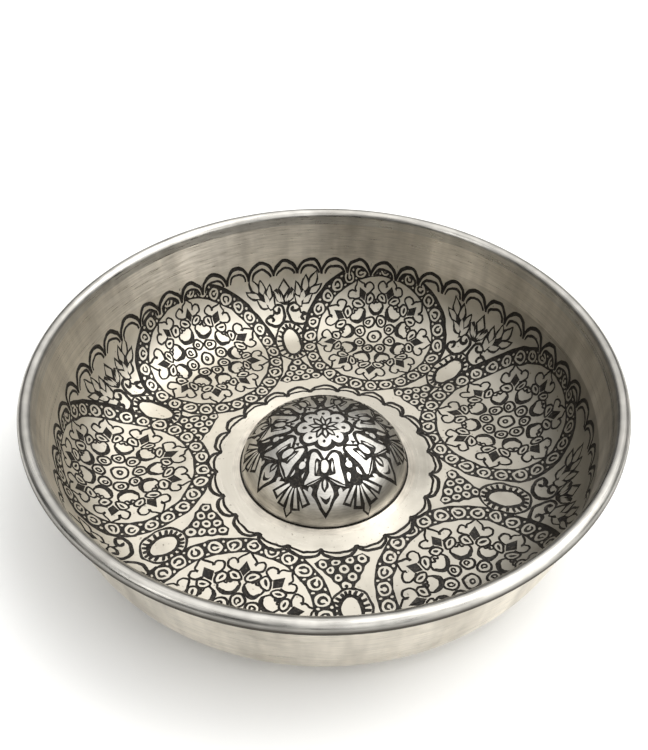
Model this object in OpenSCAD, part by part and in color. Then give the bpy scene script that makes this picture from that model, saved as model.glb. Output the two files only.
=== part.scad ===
/* [Bowl] */
// Width over the rolled rim, in mm
rim_d = 200; // [190:1:220]
// Height from the table to the top of the rim
bowl_h = 48.2; // [44:0.1:56]
// Radius of the turn from floor to wall, on the outside
corner_r = 24; // [18:0.5:28]
// Lean of the wall away from upright, in degrees
wall_lean = 8.2; // [5:0.1:12]
// Thickness of the raised sheet
sheet_t = 0.8; // [0.7:0.05:1]
// Width of the flat ring that stands on the table
foot_w = 8.5; // [6:0.5:12]
// Rise of the floor from the foot ring to the boss
floor_rise = 0.5; // [0.4:0.05:1]

/* [Rim] */
// Thickness of the wire inside the rolled rim
wire_d = 3.2; // [2.4:0.1:4]
// Room between the wire and the sheet rolled round it
roll_gap = 0.05; // [0.02:0.01:0.1]
// Room between the rolled edge and the wall below it
seam_gap = 0.1; // [0.05:0.05:0.3]

/* [Boss] */
// Width of the opening that the boss stands in
boss_d = 61; // [54:0.5:66]
// Height of the boss above the floor round it
boss_h = 18.7; // [15:0.1:22]

/* [Joint] */
// Width of the soldered joint between floor and boss
joint_gap = 0.15; // [0.1:0.05:0.25]
// Depth of the groove left open above the solder
joint_groove = 0.3; // [0.1:0.05:0.4]
// Reach of the solder bead to each side of the joint
bead_w = 0.3; // [0.2:0.05:0.4]
// Depth of the solder bead below the joint
bead_h = 0.25; // [0.15:0.05:0.3]

/* [Hidden] */
$fn = 180;
// Turn between the points of an arc in a section, in degrees
arc_step = 4;

// Rolled rim: centre of the wire and the two faces of the sheet round it
roll_in = wire_d / 2 + roll_gap;
roll_out = roll_in + sheet_t;
roll_x = rim_d / 2 - roll_out;
roll_z = bowl_h - roll_out;
// Turn that the rolled edge stops short of, so that it clears the wall
roll_open = acos((roll_in - seam_gap) / roll_out);

// Floor: outer and inner edge of the foot ring
base_r = roll_x - (corner_r + roll_in + (roll_z - corner_r) * sin(wall_lean)) / cos(wall_lean);
foot_r = base_r - foot_w;

// Opening for the boss: its radius, the slope of the floor up to it and the floor's upper edge there
neck_r = boss_d / 2;
floor_slope = atan2(floor_rise, foot_r - neck_r);
seat_z = floor_rise + sheet_t / cos(floor_slope);

// Boss: the dome is half an oval, as wide as the skirt below it
skirt_r = neck_r - joint_gap;

// Point at radius r and angle a from the point c
function polar(c, r, a) = c + r * [cos(a), sin(a)];

// Arc about c from angle a to angle b, with one point every few degrees
function arc(c, r, a, b) =
    let (n = ceil(abs(b - a) / arc_step))
    [for (i = [0:n]) polar(c, r, a + (b - a) * i / n)];

// Point of the dome's section, at angle a of its oval from the top and at depth t below its face
function dome_point(a, t) =
    let (out = [boss_h * sin(a), skirt_r * cos(a)])
    [skirt_r * sin(a), seat_z + boss_h * cos(a)] - t * out / norm(out);

// Face of the dome from the top down to its seat, at depth t
function dome_face(t) =
    let (n = ceil(90 / arc_step))
    [for (i = [0:n]) dome_point(90 * i / n, t)];

// Section of the sheet, from the joint out to the wire along its under face
// and back along its upper face
module sheet_section() {
    turn = [base_r, corner_r];
    roll = [roll_x, roll_z];
    roll_start = 180 - wall_lean;
    roll_end = roll_start + roll_open - 360;
    polygon(concat(
        [[neck_r, floor_rise], [foot_r, 0]],
        arc(turn, corner_r, -90, -wall_lean),
        arc(roll, roll_in, roll_start, roll_end),
        arc(roll, roll_out, roll_end, roll_start),
        arc(turn, corner_r - sheet_t, -wall_lean, -90),
        [[foot_r + sheet_t * tan(floor_slope / 2), sheet_t], [neck_r, seat_z]]
    ));
}

module bowl_shell() {
    color([0.77, 0.74, 0.69])
        rotate_extrude() sheet_section();
}

module rim_wire() {
    color([0.45, 0.45, 0.46])
        rotate_extrude()
            translate([roll_x, roll_z]) circle(d = wire_d);
}

module boss_dome() {
    inside = dome_face(sheet_t);
    color([0.80, 0.77, 0.72])
        rotate_extrude() polygon(concat(
            dome_face(0),
            // Skirt in the opening
            [[skirt_r, floor_rise], [skirt_r - sheet_t, floor_rise]],
            [for (i = [len(inside) - 1:-1:0]) inside[i]]
        ));
}

module boss_solder() {
    top_z = seat_z - joint_groove;
    foot_z = floor_rise - bead_h;
    color([0.55, 0.54, 0.52])
        rotate_extrude() polygon([
            // Solder drawn up into the joint
            [neck_r, floor_rise], [neck_r, top_z], [skirt_r, top_z], [skirt_r, floor_rise],
            // Bead along the lower edge
            [skirt_r - bead_w, floor_rise], [skirt_r, foot_z],
            [neck_r, foot_z], [neck_r + bead_w, floor_rise - bead_w * tan(floor_slope)]
        ]);
}

bowl_shell();
rim_wire();
boss_dome();
boss_solder();
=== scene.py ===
"""An engraved hammam bowl: a silvered bath bowl with a wired rim and a domed boss in its floor.

The engraving is real relief. Each motif is drawn in millimetres on the unrolled inside face as
cuts and standing islands, the drawing is triangulated with the cuts as its edges, and the mesh is
bent back onto the bowl with the floor of every cut sunk into the sheet.
"""

from __future__ import annotations

import logging
import math
from collections.abc import Callable, Sequence
from dataclasses import dataclass, field
from enum import Enum
from functools import partial

import bpy
import numpy as np
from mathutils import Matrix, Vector
from mathutils.geometry import delaunay_2d_cdt

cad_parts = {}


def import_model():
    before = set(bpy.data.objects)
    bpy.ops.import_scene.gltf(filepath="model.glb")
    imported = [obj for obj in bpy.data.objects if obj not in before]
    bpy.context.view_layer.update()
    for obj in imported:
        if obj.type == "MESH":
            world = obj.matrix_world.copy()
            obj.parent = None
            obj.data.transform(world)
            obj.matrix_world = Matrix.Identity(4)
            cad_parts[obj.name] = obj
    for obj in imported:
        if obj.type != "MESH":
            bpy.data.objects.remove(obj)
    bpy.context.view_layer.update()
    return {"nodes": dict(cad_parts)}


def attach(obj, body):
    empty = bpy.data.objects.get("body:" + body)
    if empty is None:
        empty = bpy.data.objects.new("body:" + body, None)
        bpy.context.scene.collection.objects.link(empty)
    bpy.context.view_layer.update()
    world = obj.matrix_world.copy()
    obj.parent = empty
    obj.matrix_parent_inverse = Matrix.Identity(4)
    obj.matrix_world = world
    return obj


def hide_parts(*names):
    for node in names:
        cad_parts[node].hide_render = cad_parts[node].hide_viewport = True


LOG = logging.getLogger("hammam_bowl")
MM = 0.001
# Slack in mm for telling which points lie on the edge of a face
ON_EDGE = 1e-4
# Distance in mm below which two points of a drawing are one
WELD = 1e-5


class Tone(Enum):
    """What a part of a face is: standing metal, a cut, rubbed rim or spun wall. The value is its slot."""

    BRIGHT = 0
    CUT = 1
    RUBBED = 2
    SPUN = 3


def arc(centre: complex, radius: float, start: float, stop: float, step: float = 4.0) -> np.ndarray:
    """Points along an arc.

    Args:
        centre: Centre of the arc.
        radius: Radius of the arc.
        start: First angle, in degrees.
        stop: Last angle, in degrees.
        step: Largest turn between two points, in degrees.

    Returns:
        The points as complex numbers.
    """
    count = max(2, math.ceil(abs(stop - start) / step) + 1)
    return centre + radius * np.exp(1j * np.radians(np.linspace(start, stop, count)))


def oval(centre: complex, half_x: float, half_y: float, count: int) -> np.ndarray:
    """Points of an oval with its axes along x and y."""
    turn = np.linspace(0, 2 * math.pi, count, endpoint=False)
    return centre + half_x * np.cos(turn) + 1j * half_y * np.sin(turn)


def smooth(points: Sequence[complex], closed: bool = False, per_span: int = 4) -> np.ndarray:
    """A smooth curve through points, as a graver would sweep it.

    Args:
        points: Points that the curve passes through.
        closed: Whether the curve comes back to its first point.
        per_span: Steps between two given points.

    Returns:
        Points along the curve.
    """
    knots = np.array(points, dtype=complex)
    if closed:
        knots = np.concatenate([knots[-1:], knots, knots[:2]])
    else:
        knots = np.concatenate([[2 * knots[0] - knots[1]], knots, [2 * knots[-1] - knots[-2]]])
    t = np.linspace(0, 1, per_span, endpoint=False)
    spans = []
    for a, b, c, d in zip(knots[:-3], knots[1:-2], knots[2:-1], knots[3:]):
        bend = (2 * a - 5 * b + 4 * c - d) * t**2 + (3 * b - a - 3 * c + d) * t**3
        spans.append(b + 0.5 * ((c - a) * t + bend))
    if not closed:
        spans.append(knots[-2:-1])
    return np.concatenate(spans)


def spiral(centre: complex, outer: float, inner: float, start: float, turns: float) -> np.ndarray:
    """A curl that winds in from its outer radius.

    Args:
        centre: Middle of the curl.
        outer: Radius at its start.
        inner: Radius at its end.
        start: Angle of its start, in degrees.
        turns: Turns that it makes, less than 0 for clockwise.

    Returns:
        Points along the curl.
    """
    count = max(8, int(abs(turns) * 13))
    t = np.linspace(0, 1, count)
    angle = math.radians(start) + 2 * math.pi * turns * t
    return centre + (outer + (inner - outer) * t) * np.exp(1j * angle)


def mirrored(side: Sequence[complex]) -> np.ndarray:
    """A closed outline from one half of it: points off the x axis come again below it.

    Args:
        side: Points of the upper half, in order.

    Returns:
        Points of the whole outline.
    """
    half = np.asarray(side, dtype=complex)
    back = half[::-1]
    return np.concatenate([half, np.conj(back[back.imag != 0])])


def leaf(length: float, half: float, belly: float = 0.4) -> np.ndarray:
    """A pointed leaf along x from the origin.

    Args:
        length: Length of the leaf.
        half: Half its width.
        belly: Share of its length where it is widest.

    Returns:
        Points of its outline.
    """
    side = [0, belly * 0.5 * length + 0.8j * half, belly * length + 1j * half]
    side += [(belly + 1) * 0.5 * length + 0.62j * half, length]
    return mirrored(smooth(side, per_span=3))


def leaf_between(foot: complex, tip: complex, half: float) -> np.ndarray:
    """A pointed leaf from its foot to its tip."""
    way = tip - foot
    return foot + leaf(abs(way), half) * way / abs(way)


@dataclass(frozen=True)
class Place:
    """Where a motif sits on the drawing: its origin, its turn and how far it is stretched."""

    origin: complex = 0j
    turn: complex = 1 + 0j
    skew: complex = 0j

    @staticmethod
    def at(origin: complex, degrees: float, along: float = 1.0, across: float = 1.0) -> Place:
        """A place turned by an angle, with the motif stretched along and across that way."""
        way = complex(np.exp(1j * math.radians(degrees)))
        return Place(complex(origin), way * (along + across) / 2, way * (along - across) / 2)

    def __call__(self, points: Sequence[complex] | np.ndarray | complex) -> np.ndarray:
        """Moves motif points to the drawing."""
        points = np.asarray(points, dtype=complex)
        return self.origin + self.turn * points + self.skew * np.conj(points)

    def then(self, origin: complex, degrees: float = 0.0, flip: bool = False) -> Place:
        """A place inside this one, for a motif that is part of a larger one.

        Args:
            origin: Origin of the inner place, in this one.
            degrees: Turn of the inner place.
            flip: Whether the inner motif is mirrored.

        Returns:
            The inner place on the drawing.
        """
        inner = Place.at(origin, degrees, 1.0, -1.0 if flip else 1.0)
        turn = self.turn * inner.turn + self.skew * inner.skew.conjugate()
        skew = self.turn * inner.skew + self.skew * inner.turn.conjugate()
        return Place(complex(self(inner.origin)), turn, skew)

    def halves(self) -> tuple[Place, Place]:
        """This place, and its mirror image across the way it points."""
        return self, self.then(0, flip=True)


@dataclass(frozen=True)
class Cut:
    """One closed outline of the drawing and what it leaves inside."""

    outline: np.ndarray
    tone: Tone


@dataclass
class Drawing:
    """The engraver's drawing on an unrolled face: later cuts lie over earlier ones.

    The distance from the origin is the length along the section, and the angle is the
    angle round the bowl.
    """

    waver: float = 0.10
    # Waves of the unsteady hand: the pace of each, in radians per mm, and its share of the waver
    waves: tuple[tuple[float, float], ...] = ((0.43, 2.0), (1.1, 1.0), (3.1, 0.8))
    # Share of the length of a line over which its ends thin
    taper: float = 0.3
    cuts: list[Cut] = field(default_factory=list)
    spines: list[np.ndarray] = field(default_factory=list)

    def by_hand(self, points: np.ndarray) -> np.ndarray:
        """Moves points a little, smoothly over the face, so that no line is quite true.

        Args:
            points: Points as they were meant.

        Returns:
            Points as the hand drew them.
        """
        shift = np.zeros(len(points), dtype=complex)
        for pace, size in self.waves:
            along = np.sin(pace * (points.real + 0.6 * points.imag + 7))
            shift += size * (along + 1j * np.sin(pace * (points.imag - 0.7 * points.real + 11)))
        return points + self.waver * shift

    def fill(self, outline: np.ndarray, tone: Tone) -> None:
        """Adds a closed outline that is cut away or left standing."""
        self.cuts.append(Cut(self.by_hand(outline), tone))

    def line(self, points: np.ndarray, width: float, ends: tuple[float, float] = (0.5, 0.5)) -> None:
        """Adds a graver's line, thinner towards its ends.

        Args:
            points: Points along the line.
            width: Width of the line at its middle.
            ends: Share of the width that is left at the first and the last point.
        """
        points = self.by_hand(points)
        t = np.linspace(0, 1, len(points))
        share = 1 - (1 - ends[0]) * np.clip(1 - t / self.taper, 0, 1) ** 2
        share -= (1 - ends[1]) * np.clip(1 - (1 - t) / self.taper, 0, 1) ** 2
        along = np.gradient(points)
        side = 1j * along / np.maximum(np.abs(along), 1e-9) * share * width / 2
        self.cuts.append(Cut(np.concatenate([points + side, (points - side)[::-1]]), Tone.CUT))
        self.spines.append(points[1:-1])

    def outline(self, outline: np.ndarray, width: float) -> None:
        """Adds a line of even width round a closed outline, with the inside left standing."""
        self.fill(outline, Tone.BRIGHT)
        self.line(np.concatenate([outline, outline[:2]]), width, (1.0, 1.0))

    def tone_at(self, points: np.ndarray) -> np.ndarray:
        """What the drawing leaves at each point.

        Args:
            points: Points of the drawing, as complex numbers.

        Returns:
            The value of the tone at each point.
        """
        order = np.argsort(points.real)
        x, y = points.real[order], points.imag[order]
        tone = np.zeros(len(points), dtype=np.int8)
        for cut in self.cuts:
            px, py = cut.outline.real, cut.outline.imag
            low, high = np.searchsorted(x, (px.min(), px.max()))
            near = low + np.flatnonzero((y[low:high] >= py.min()) & (y[low:high] <= py.max()))
            if not len(near):
                continue
            nx, ny = np.roll(px, -1), np.roll(py, -1)
            qx, qy = x[near][:, None], y[near][:, None]
            side = (nx - px) * (qy - py) - (qx - px) * (ny - py)
            rising = (py <= qy) & (ny > qy) & (side > 0)
            falling = (py > qy) & (ny <= qy) & (side < 0)
            wound = rising.sum(axis=1) - falling.sum(axis=1)
            tone[order[near[wound != 0]]] = cut.tone.value
        return tone


@dataclass
class Section:
    """The section of a turned face, as points of radius and height from the axis outwards."""

    points: np.ndarray
    start: float
    # Half the length in mm that the way of the section is taken over
    probe: float = 0.4

    def __post_init__(self) -> None:
        """Measures the length along the section."""
        self.length = self.start + np.concatenate([[0], np.cumsum(np.abs(np.diff(self.points)))])

    def at(self, length: np.ndarray) -> np.ndarray:
        """Radius and height at a length along the section."""
        radius = np.interp(length, self.length, self.points.real)
        return radius + 1j * np.interp(length, self.length, self.points.imag)

    def normal(self, length: np.ndarray) -> np.ndarray:
        """The way out of the upper face at a length along the section."""
        way = self.at(length + self.probe) - self.at(length - self.probe)
        return 1j * way / np.abs(way)


@dataclass
class TurnedMesh:
    """A closed mesh of an engraved face and the plain turned faces that go round behind it."""

    segments: int
    # Distances in mm between the points that fill the whole face and those that fill the cuts
    body_pitch: float = 3.5
    ground_pitch: float = 2.6
    # Share by which the depth of the cuts varies
    rough: float = 0.35
    # How far in mm the graver strays, in two waves, and the width of the edges where it is held back
    stray: tuple[float, float] = (0.13, 0.09)
    calm: float = 1.5
    # Cosine of the bend above which two turned faces flow into each other
    flow: float = 0.8
    places: list[np.ndarray] = field(default_factory=list)
    faces: list[np.ndarray] = field(default_factory=list)
    normals: list[np.ndarray] = field(default_factory=list)
    tones: list[np.ndarray] = field(default_factory=list)
    count: int = 0

    def add_vertices(self, places: np.ndarray) -> np.ndarray:
        """Adds vertices.

        Args:
            places: One row of x, y and z for each, in mm.

        Returns:
            Their numbers.
        """
        numbers = np.arange(self.count, self.count + len(places))
        self.places.append(places)
        self.count += len(places)
        return numbers

    def add_faces(self, faces: np.ndarray, normals: np.ndarray, tones: np.ndarray) -> None:
        """Adds faces that have as many corners as each other.

        Args:
            faces: Vertex numbers, one row for each face.
            normals: A normal for each corner of each face.
            tones: Value of the tone of each face.
        """
        self.faces.append(faces)
        self.normals.append(normals.reshape(-1, 3))
        self.tones.append(tones)

    def engrave(
        self, drawing: Drawing, section: Section, low: float, high: float, depth: float
    ) -> tuple[np.ndarray, np.ndarray]:
        """Adds the engraved face.

        Args:
            drawing: The cuts, on the unrolled face.
            section: The section that the face follows.
            low: Length along the section where the face starts, 0 at the axis.
            high: Length along the section where the face ends.
            depth: Depth of the cuts.

        Returns:
            The vertices of the inner and of the outer edge, in order round the bowl.
        """
        flat, triangles = self.triangulate(drawing, low, high)
        middle = flat[triangles].mean(axis=1)
        inside = (np.abs(middle) > low) & (np.abs(middle) < high)
        triangles = triangles[inside]
        tone = drawing.tone_at(middle[inside])

        kept = np.unique(triangles)
        renumber = np.full(len(flat), -1)
        renumber[kept] = np.arange(len(kept))
        flat, triangles = flat[kept], renumber[triangles]

        flat = flat + self.unevenness(flat, low, high)
        reach = np.abs(flat)
        edge = (reach < low + ON_EDGE) | (reach > high - ON_EDGE)
        touches_bright = np.zeros(len(flat), dtype=bool)
        touches_bright[triangles[tone == Tone.BRIGHT.value]] = True
        sunk = ~touches_bright & ~edge
        grain = np.sin(2.7 * flat.real + 1.3 * flat.imag) * np.sin(2.2 * flat.imag - 0.9 * flat.real)
        sink = np.where(sunk, depth * (1 + self.rough * grain), 0.0)

        spot, out = section.at(reach), section.normal(reach)
        spot = spot - out * sink
        around = np.exp(1j * np.angle(flat))
        numbers = self.add_vertices(spread(spot, around))
        upright = spread(out, around)

        corners = self.places[-1][triangles]
        facing = np.cross(corners[:, 1] - corners[:, 0], corners[:, 2] - corners[:, 0])
        facing /= np.maximum(np.linalg.norm(facing, axis=1, keepdims=True), 1e-12)
        is_cut = (tone == Tone.CUT.value)[:, None, None]
        normals = np.where(is_cut, facing[:, None, :], upright[triangles])
        self.add_faces(numbers[triangles], normals, tone)

        rims = []
        for limit in (low, high):
            ring = np.flatnonzero(np.abs(reach - limit) < ON_EDGE)
            rims.append(numbers[ring[np.argsort(np.angle(flat[ring]) % (2 * math.pi - 1e-6))]])
        return rims[0], rims[1]

    def unevenness(self, flat: np.ndarray, low: float, high: float) -> np.ndarray:
        """How far the hand of the engraver strays from the drawing at each point.

        Args:
            flat: Points on the unrolled face.
            low: Radius of the inner edge of the face, where nothing strays.
            high: Radius of the outer edge of the face, where nothing strays.

        Returns:
            The shift of each point.
        """
        x, y = flat.real, flat.imag
        slow, quick = self.stray
        # Waves of 5 to 7 mm that cross at a slant, so that no motif strays like its neighbour
        along = slow * np.sin(0.83 * x + 0.41 * y + 1.1) + quick * np.sin(1.07 * y - 0.52 * x + 0.4)
        across = slow * np.sin(0.91 * y - 0.47 * x + 2.3) + quick * np.sin(1.13 * x + 0.38 * y + 3.1)
        reach = np.abs(flat)
        inner = np.clip((reach - low) / self.calm, 0, 1) if low > 0 else 1.0
        return (along + 1j * across) * inner * np.clip((high - reach) / self.calm, 0, 1)

    def triangulate(self, drawing: Drawing, low: float, high: float) -> tuple[np.ndarray, np.ndarray]:
        """Triangulates the drawing with its cuts as edges.

        Args:
            drawing: The cuts, on the unrolled face.
            low: Radius of the inner edge of the drawing, 0 for none.
            high: Radius of the outer edge of the drawing.

        Returns:
            The points as complex numbers, and the triangles as point numbers.
        """
        rings = [limit * np.exp(2j * math.pi * np.arange(self.segments) / self.segments)
                 for limit in (low, high) if limit > 0]
        loops = [cut.outline for cut in drawing.cuts] + rings
        edges: list[tuple[int, int]] = []
        first = 0
        for loop in loops:
            edges += [(first + i, first + (i + 1) % len(loop)) for i in range(len(loop))]
            first += len(loop)
        for spine in drawing.spines:
            edges += [(first + i, first + i + 1) for i in range(len(spine) - 1)]
            first += len(spine)
        body = self.even_points(low, high, self.body_pitch)
        ground = self.even_points(low, high, self.ground_pitch)
        ground = ground[drawing.tone_at(ground) == Tone.CUT.value]
        points = np.concatenate(loops + drawing.spines + [body, ground])
        flat, _, triangles, *_ = delaunay_2d_cdt(
            [Vector((p.real, p.imag)) for p in points], edges, [], 0, WELD, False
        )
        out = np.array([complex(p.x, p.y) for p in flat])
        return out, np.array(triangles)

    def even_points(self, low: float, high: float, pitch: float) -> np.ndarray:
        """Points spread over a ring at about one pitch from each other, shaken so that no grid shows.

        Args:
            low: Inner radius of the ring.
            high: Outer radius of the ring.
            pitch: Distance between points.

        Returns:
            The points, row by row.
        """
        rows = []
        for i, radius in enumerate(np.arange(low + 0.6 * pitch, high - 0.5 * pitch, pitch)):
            count = max(5, round(2 * math.pi * radius / pitch))
            turn = 2 * math.pi * (np.arange(count) + 0.5 * (i % 2)) / count
            rows.append((radius + 0.22 * pitch * np.sin(7.3 * np.arange(count))) * np.exp(1j * turn))
        return np.concatenate(rows)

    def turn(
        self, runs: list[tuple[np.ndarray, Tone]], first: np.ndarray, last: np.ndarray | None
    ) -> None:
        """Adds plain faces turned from a path between two edges of the engraved face.

        Args:
            runs: Radius and height along each run of the path, with the body on its right-hand
                side, and the tone of the faces that lead to the points of the run.
            first: Vertices that the path starts from.
            last: Vertices that the path ends on, or None where it ends on the axis.
        """
        path = np.concatenate([points for points, _ in runs])
        tones = [tone.value for points, tone in runs for _ in points]
        around = np.exp(2j * math.pi * np.arange(self.segments) / self.segments)
        rings = [first]
        for spot in path[1:-1]:
            rings.append(self.add_vertices(spread(np.full(self.segments, spot), around)))
        if last is None:
            pole = self.add_vertices(np.array([[0.0, 0.0, path[-1].imag]]))
            last = np.full(self.segments, pole[0])
        rings.append(last)
        way = np.diff(path)
        face = 1j * way / np.abs(way)
        for i in range(len(path) - 1):
            ends = []
            for near in (i - 1, i + 1):
                flows = 0 <= near < len(face) and (face[near] * np.conj(face[i])).real > self.flow
                mixed = face[i] + face[near] if flows else face[i]
                ends.append(mixed / abs(mixed))
            a, b = rings[i], rings[i + 1]
            start, stop = (spread(np.full(self.segments, end), around) for end in ends)
            if len(np.unique(b)) == 1:
                faces = np.stack([b, np.roll(a, -1), a], axis=1)
                normals = np.stack([stop, np.roll(start, -1, axis=0), start], axis=1)
            else:
                faces = np.stack([a, b, np.roll(b, -1), np.roll(a, -1)], axis=1)
                turned = np.roll(stop, -1, axis=0)
                normals = np.stack([start, stop, turned, np.roll(start, -1, axis=0)], axis=1)
            self.add_faces(faces, normals, np.full(len(faces), tones[i + 1], dtype=np.int8))

    def finish(self, name: str, materials: list[bpy.types.Material]) -> bpy.types.Object:
        """Makes the object.

        Args:
            name: Name of the piece.
            materials: One material for each tone.

        Returns:
            The object, in metres.
        """
        mesh = bpy.data.meshes.new(name)
        polygons = [face for block in self.faces for face in block.tolist()]
        mesh.from_pydata((np.concatenate(self.places) * MM).tolist(), [], polygons)
        for material in materials:
            mesh.materials.append(material)
        mesh.polygons.foreach_set("material_index", np.concatenate(self.tones).astype(np.int32))
        mesh.polygons.foreach_set("use_smooth", np.ones(len(polygons), dtype=bool))
        mesh.normals_split_custom_set(np.concatenate(self.normals).tolist())
        mesh.validate(clean_customdata=False)
        piece = bpy.data.objects.new(name, mesh)
        bpy.context.scene.collection.objects.link(piece)
        return piece


def spread(spot: np.ndarray, around: np.ndarray) -> np.ndarray:
    """Turns radius and height, and a direction round the axis, into x, y and z."""
    return np.stack([spot.real * around.real, spot.real * around.imag, spot.imag], axis=1)


def linear(colour: str) -> tuple[float, float, float, float]:
    """Turns an sRGB hex colour into the linear colour that a socket takes.

    Args:
        colour: Colour as # and six hex digits.

    Returns:
        Red, green, blue and alpha.
    """
    parts = [int(colour[i : i + 2], 16) / 255 for i in (1, 3, 5)]
    flat = [p / 12.92 if p <= 0.04045 else ((p + 0.055) / 1.055) ** 2.4 for p in parts]
    return (flat[0], flat[1], flat[2], 1.0)


def add_node(
    tree: bpy.types.NodeTree,
    kind: str,
    settings: dict[str | int, object] | None = None,
    **links: bpy.types.NodeSocket,
) -> bpy.types.Node:
    """Adds a node with its settings and links.

    Args:
        tree: Tree that gets the node.
        kind: Name of the node's type.
        settings: Properties of the node, or values of its inputs by name or number.
        links: Output sockets to link, by the input's name with _ for each space, or in_ and its number.

    Returns:
        The node.
    """
    node = tree.nodes.new(kind)
    for key, value in (settings or {}).items():
        if isinstance(key, int) or key in node.inputs:
            node.inputs[key].default_value = value
        else:
            setattr(node, key, value)
    for key, socket in links.items():
        name = int(key[3:]) if key.startswith("in_") else key.replace("_", " ")
        tree.links.new(socket, node.inputs[name])
    return node


def empty_material(name: str) -> tuple[bpy.types.Material, bpy.types.NodeTree]:
    """Makes a material with no nodes.

    Args:
        name: Name of the material.

    Returns:
        The material and its node tree.
    """
    material = bpy.data.materials.new(name)
    material.use_nodes = True
    material.node_tree.nodes.clear()
    return material, material.node_tree


@dataclass
class Look:
    """What a finish is worked out from: where a point is on the bowl, and the shader's inputs so far."""

    add: Callable[..., bpy.types.Node]
    where: bpy.types.NodeSocket
    reach: bpy.types.NodeSocket
    height: bpy.types.NodeSocket
    cloud: bpy.types.NodeSocket
    shader: dict[str, bpy.types.NodeSocket]


@dataclass(frozen=True)
class SpunMetal:
    """Metal rubbed on the spindle, here silvered brass sheet: a warm satin grey with fine rings.

    The real rings are a few hundredths of a millimetre apart, and are drawn coarser so that they show.
    The grain is how far the rings stretch the gloss across them, from 0 to 1.
    """

    name: str = "silvered_brass_spun"
    colour: str = "#DAD3C6"
    tarnish: str = "#B2AA9C"
    roughness: float = 0.32
    grain: float = 0.9
    ring_pitch_mm: float = 0.5
    ring_stretch: float = 0.006
    ring_depth_mm: float = 0.05
    cloud_mm: float = 22.222
    sheen_band_mm: float = 7.0
    sheen_band_stretch: float = 0.12

    def make(self) -> bpy.types.Material:
        """Makes the material.

        Returns:
            The material.
        """
        material, tree = empty_material(self.name)
        add = partial(add_node, tree)
        where = add("ShaderNodeTexCoord").outputs["Object"]
        axes = add("ShaderNodeSeparateXYZ", Vector=where).outputs
        flat = add("ShaderNodeVectorMath", {"operation": "MULTIPLY", 1: (1, 1, 0)}, in_0=where).outputs[0]
        reach = add("ShaderNodeVectorMath", {"operation": "LENGTH"}, in_0=flat).outputs["Value"]
        rings = self.rings(add, axes, reach)
        coarse = {"Scale": 1 / (self.cloud_mm * MM), "Detail": 5.0, "Roughness": 0.6}
        clouds = add("ShaderNodeTexNoise", coarse, Vector=where).outputs[0]
        cloud = add("ShaderNodeMapRange", {1: 0.48, 2: 0.80}, Value=clouds).outputs[0]
        metal = {"data_type": "RGBA", 6: linear(self.colour), 7: linear(self.tarnish)}
        colour = add("ShaderNodeMix", metal, in_0=cloud).outputs[2]
        worn = self.wear_and_sheen(add, where, rings)
        colour = add("ShaderNodeVectorMath", {"operation": "SCALE"}, in_0=colour, Scale=worn).outputs[0]
        # The rings leave the sheet a little smoother in one place and rougher in the next
        spread_of = {1: 0.3, 2: 0.7, 3: self.roughness - 0.06, 4: self.roughness + 0.10}
        rough = add("ShaderNodeMapRange", spread_of, Value=rings).outputs[0]
        look = Look(add, where, reach, axes["Z"], cloud, {"Base_Color": colour, "Roughness": rough})
        self.weather(look)
        relief = {"Strength": 0.25, "Distance": self.ring_depth_mm * MM}
        surface = add(
            "ShaderNodeBsdfPrincipled",
            {"Metallic": 1.0, "Anisotropic": self.grain, "Anisotropic Rotation": 0.25},
            Normal=add("ShaderNodeBump", relief, Height=rings).outputs[0],
            Tangent=add("ShaderNodeTangent", {"direction_type": "RADIAL", "axis": "Z"}).outputs[0],
            **look.shader,
        )
        add("ShaderNodeOutputMaterial", Surface=surface.outputs[0])
        return material

    def rings(
        self,
        add: Callable[..., bpy.types.Node],
        axes: bpy.types.NodeOutputs,
        reach: bpy.types.NodeSocket,
    ) -> bpy.types.NodeSocket:
        """Adds the fine rings left by rubbing on the spindle, drawn out round the axis.

        Args:
            add: Adds a node to the material.
            axes: The three parts of a point's place.
            reach: The point's distance from the axis.

        Returns:
            The height of the rings, from 0 to 1.
        """
        turn = add("ShaderNodeMath", {"operation": "ARCTAN2"}, in_0=axes["Y"], in_1=axes["X"]).outputs[0]
        around = add("ShaderNodeMath", {"operation": "COSINE"}, in_0=turn).outputs[0]
        spun = add("ShaderNodeCombineXYZ", X=around, Y=reach, Z=axes["Z"]).outputs[0]
        drawn_out = {"operation": "MULTIPLY", 1: (self.ring_stretch, 1.0, 1.0)}
        spun = add("ShaderNodeVectorMath", drawn_out, in_0=spun).outputs[0]
        fine = {"Scale": 1 / (self.ring_pitch_mm * MM), "Detail": 3.0, "Roughness": 0.6}
        return add("ShaderNodeTexNoise", fine, Vector=spun).outputs[0]

    def wear_and_sheen(
        self, add: Callable[..., bpy.types.Node], where: bpy.types.NodeSocket, rings: bpy.types.NodeSocket
    ) -> bpy.types.NodeSocket:
        """Adds upright bands of lighter and darker colour, painted sheen, and fine streaks along the
        rings.

        Args:
            add: Adds a node to the material.
            where: The place of a point.
            rings: The height of the rings.

        Returns:
            The share of the colour that the painted sheen and the streaks leave.
        """
        # Painted sheen: upright bands that lighten and darken the colour, as streaks of reflection
        upright = {"operation": "MULTIPLY", 1: (1.0, 1.0, self.sheen_band_stretch)}
        tall = add("ShaderNodeVectorMath", upright, in_0=where)
        broad = {"Scale": 1 / (self.sheen_band_mm * MM), "Detail": 2.0, "Roughness": 0.5}
        sheen_bands = add("ShaderNodeTexNoise", broad, Vector=tall.outputs[0]).outputs[0]
        shade = add("ShaderNodeMapRange", {1: 0.35, 2: 0.65, 3: 0.84, 4: 1.08}, Value=sheen_bands).outputs[0]
        streaks = add("ShaderNodeMapRange", {1: 0.35, 2: 0.6, 3: 0.80, 4: 1.0}, Value=rings).outputs[0]
        return add("ShaderNodeMath", {"operation": "MULTIPLY"}, in_0=shade, in_1=streaks).outputs[0]

    def weather(self, look: Look) -> None:
        """Changes the shader's inputs by what use has left: nothing on the plain metal."""


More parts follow.
